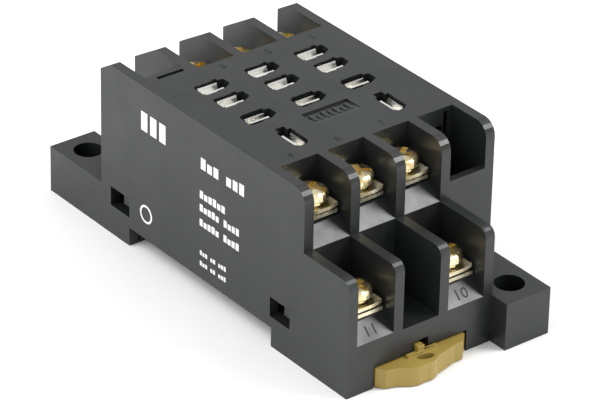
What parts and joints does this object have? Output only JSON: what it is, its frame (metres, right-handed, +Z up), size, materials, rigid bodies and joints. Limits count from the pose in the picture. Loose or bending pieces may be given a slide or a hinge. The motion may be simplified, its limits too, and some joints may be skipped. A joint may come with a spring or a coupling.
{
  "type": "relay socket",
  "caption": "Black plug-in relay socket for 35 mm rail: stepped block with blade slots on top, recessed screw terminals at both ends, two screw ears and a sliding yellow rail clip.",
  "frame": {"origin": "centre of the footprint, on the plane that the socket stands on", "axes": "+X along the socket, towards the end with the sliding rail clip; +Y across it, towards the front screw ear; +Z up, out of the face that the relay plugs into"},
  "size_m": [0.078, 0.0354, 0.0293],
  "materials": {
    "housing_black": "satin moulded thermoplastic",
    "base_black": "matte moulded thermoplastic",
    "clip_yellow": "satin moulded polyamide",
    "terminal_plated": "bright plated, stamped",
    "contact_bright": "bright tinned spring bronze",
    "washer_zinc": "yellow passivated zinc on steel",
    "screw_zinc": "yellow passivated zinc on steel"
  },
  "bodies": {
    "socket": {"housing": "housing_black", "base": "base_black", "terminal_plate_01": "terminal_plated", "terminal_plate_02": "terminal_plated", "terminal_plate_03": "terminal_plated", "terminal_plate_04": "terminal_plated", "terminal_plate_05": "terminal_plated", "terminal_plate_06": "terminal_plated", "terminal_plate_07": "terminal_plated", "terminal_plate_08": "terminal_plated", "terminal_plate_09": "terminal_plated", "terminal_plate_10": "terminal_plated", "terminal_plate_11": "terminal_plated", "contact_clip_01": "contact_bright", "contact_clip_02": "contact_bright", "contact_clip_03": "contact_bright", "contact_clip_04": "contact_bright", "contact_clip_05": "contact_bright", "contact_clip_06": "contact_bright", "contact_clip_07": "contact_bright", "contact_clip_08": "contact_bright", "contact_clip_09": "contact_bright", "contact_clip_10": "contact_bright", "contact_clip_11": "contact_bright"},
    "rail_clip": {"rail_clip": "clip_yellow"},
    "clamp_01": {"clamp_washer_01": "washer_zinc"},
    "screw_01": {"terminal_screw_01": "screw_zinc"},
    "clamp_02": {"clamp_washer_02": "washer_zinc"},
    "screw_02": {"terminal_screw_02": "screw_zinc"},
    "clamp_03": {"clamp_washer_03": "washer_zinc"},
    "screw_03": {"terminal_screw_03": "screw_zinc"},
    "clamp_04": {"clamp_washer_04": "washer_zinc"},
    "screw_04": {"terminal_screw_04": "screw_zinc"},
    "clamp_05": {"clamp_washer_05": "washer_zinc"},
    "screw_05": {"terminal_screw_05": "screw_zinc"},
    "clamp_06": {"clamp_washer_06": "washer_zinc"},
    "screw_06": {"terminal_screw_06": "screw_zinc"},
    "clamp_07": {"clamp_washer_07": "washer_zinc"},
    "screw_07": {"terminal_screw_07": "screw_zinc"},
    "clamp_08": {"clamp_washer_08": "washer_zinc"},
    "screw_08": {"terminal_screw_08": "screw_zinc"},
    "clamp_09": {"clamp_washer_09": "washer_zinc"},
    "screw_09": {"terminal_screw_09": "screw_zinc"},
    "clamp_10": {"clamp_washer_10": "washer_zinc"},
    "screw_10": {"terminal_screw_10": "screw_zinc"},
    "clamp_11": {"clamp_washer_11": "washer_zinc"},
    "screw_11": {"terminal_screw_11": "screw_zinc"}
  },
  "joints": [
    {"name": "rail_clip_slide", "type": "slide", "parent": "socket", "child": "rail_clip", "axis": [1, 0, 0], "range_m": [0, 0.003], "stiffness_N_per_m": 600, "springref_m": -0.006},
    {"name": "clamp_lift_01", "type": "slide", "parent": "socket", "child": "clamp_01", "axis": [0, 0, 1], "range_m": [0, 0.0024]},
    {"name": "screw_turn_01", "type": "hinge", "parent": "clamp_01", "child": "screw_01", "pos_m": [-0.019, 0.0126, 0.0231], "axis": [0, 0, 1], "range_deg": [0, 1440]},
    {"name": "clamp_lift_02", "type": "slide", "parent": "socket", "child": "clamp_02", "axis": [0, 0, 1], "range_m": [0, 0.0024]},
    {"name": "screw_turn_02", "type": "hinge", "parent": "clamp_02", "child": "screw_02", "pos_m": [-0.019, 0.0042, 0.0231], "axis": [0, 0, 1], "range_deg": [0, 1440]},
    {"name": "clamp_lift_03", "type": "slide", "parent": "socket", "child": "clamp_03", "axis": [0, 0, 1], "range_m": [0, 0.0024]},
    {"name": "screw_turn_03", "type": "hinge", "parent": "clamp_03", "child": "screw_03", "pos_m": [-0.019, -0.0042, 0.0231], "axis": [0, 0, 1], "range_deg": [0, 1440]},
    {"name": "clamp_lift_04", "type": "slide", "parent": "socket", "child": "clamp_04", "axis": [0, 0, 1], "range_m": [0, 0.0024]},
    {"name": "screw_turn_04", "type": "hinge", "parent": "clamp_04", "child": "screw_04", "pos_m": [-0.0306, 0.0126, 0.012], "axis": [0, 0, 1], "range_deg": [0, 1440]},
    {"name": "clamp_lift_05", "type": "slide", "parent": "socket", "child": "clamp_05", "axis": [0, 0, 1], "range_m": [0, 0.0024]},
    {"name": "screw_turn_05", "type": "hinge", "parent": "clamp_05", "child": "screw_05", "pos_m": [-0.0306, 0.0042, 0.012], "axis": [0, 0, 1], "range_deg": [0, 1440]},
    {"name": "clamp_lift_06", "type": "slide", "parent": "socket", "child": "clamp_06", "axis": [0, 0, 1], "range_m": [0, 0.0024]},
    {"name": "screw_turn_06", "type": "hinge", "parent": "clamp_06", "child": "screw_06", "pos_m": [-0.0306, -0.0042, 0.012], "axis": [0, 0, 1], "range_deg": [0, 1440]},
    {"name": "clamp_lift_07", "type": "slide", "parent": "socket", "child": "clamp_07", "axis": [0, 0, 1], "range_m": [0, 0.0024]},
    {"name": "screw_turn_07", "type": "hinge", "parent": "clamp_07", "child": "screw_07", "pos_m": [0.02, 0.0042, 0.0231], "axis": [0, 0, 1], "range_deg": [0, 1440]},
    {"name": "clamp_lift_08", "type": "slide", "parent": "socket", "child": "clamp_08", "axis": [0, 0, 1], "range_m": [0, 0.0024]},
    {"name": "screw_turn_08", "type": "hinge", "parent": "clamp_08", "child": "screw_08", "pos_m": [0.02, -0.0042, 0.0231], "axis": [0, 0, 1], "range_deg": [0, 1440]},
    {"name": "clamp_lift_09", "type": "slide", "parent": "socket", "child": "clamp_09", "axis": [0, 0, 1], "range_m": [0, 0.0024]},
    {"name": "screw_turn_09", "type": "hinge", "parent": "clamp_09", "child": "screw_09", "pos_m": [0.02, -0.0126, 0.0231], "axis": [0, 0, 1], "range_deg": [0, 1440]},
    {"name": "clamp_lift_10", "type": "slide", "parent": "socket", "child": "clamp_10", "axis": [0, 0, 1], "range_m": [0, 0.0024]},
    {"name": "screw_turn_10", "type": "hinge", "parent": "clamp_10", "child": "screw_10", "pos_m": [0.0306, 0.0042, 0.012], "axis": [0, 0, 1], "range_deg": [0, 1440]},
    {"name": "clamp_lift_11", "type": "slide", "parent": "socket", "child": "clamp_11", "axis": [0, 0, 1], "range_m": [0, 0.0024]},
    {"name": "screw_turn_11", "type": "hinge", "parent": "clamp_11", "child": "screw_11", "pos_m": [0.0306, -0.0126, 0.012], "axis": [0, 0, 1], "range_deg": [0, 1440]}
  ],
  "couplings": [
    {"joint": "screw_turn_01", "follows": "clamp_lift_01", "rad_per_m": 10472},
    {"joint": "screw_turn_02", "follows": "clamp_lift_02", "rad_per_m": 10472},
    {"joint": "screw_turn_03", "follows": "clamp_lift_03", "rad_per_m": 10472},
    {"joint": "screw_turn_04", "follows": "clamp_lift_04", "rad_per_m": 10472},
    {"joint": "screw_turn_05", "follows": "clamp_lift_05", "rad_per_m": 10472},
    {"joint": "screw_turn_06", "follows": "clamp_lift_06", "rad_per_m": 10472},
    {"joint": "screw_turn_07", "follows": "clamp_lift_07", "rad_per_m": 10472},
    {"joint": "screw_turn_08", "follows": "clamp_lift_08", "rad_per_m": 10472},
    {"joint": "screw_turn_09", "follows": "clamp_lift_09", "rad_per_m": 10472},
    {"joint": "screw_turn_10", "follows": "clamp_lift_10", "rad_per_m": 10472},
    {"joint": "screw_turn_11", "follows": "clamp_lift_11", "rad_per_m": 10472}
  ]
}
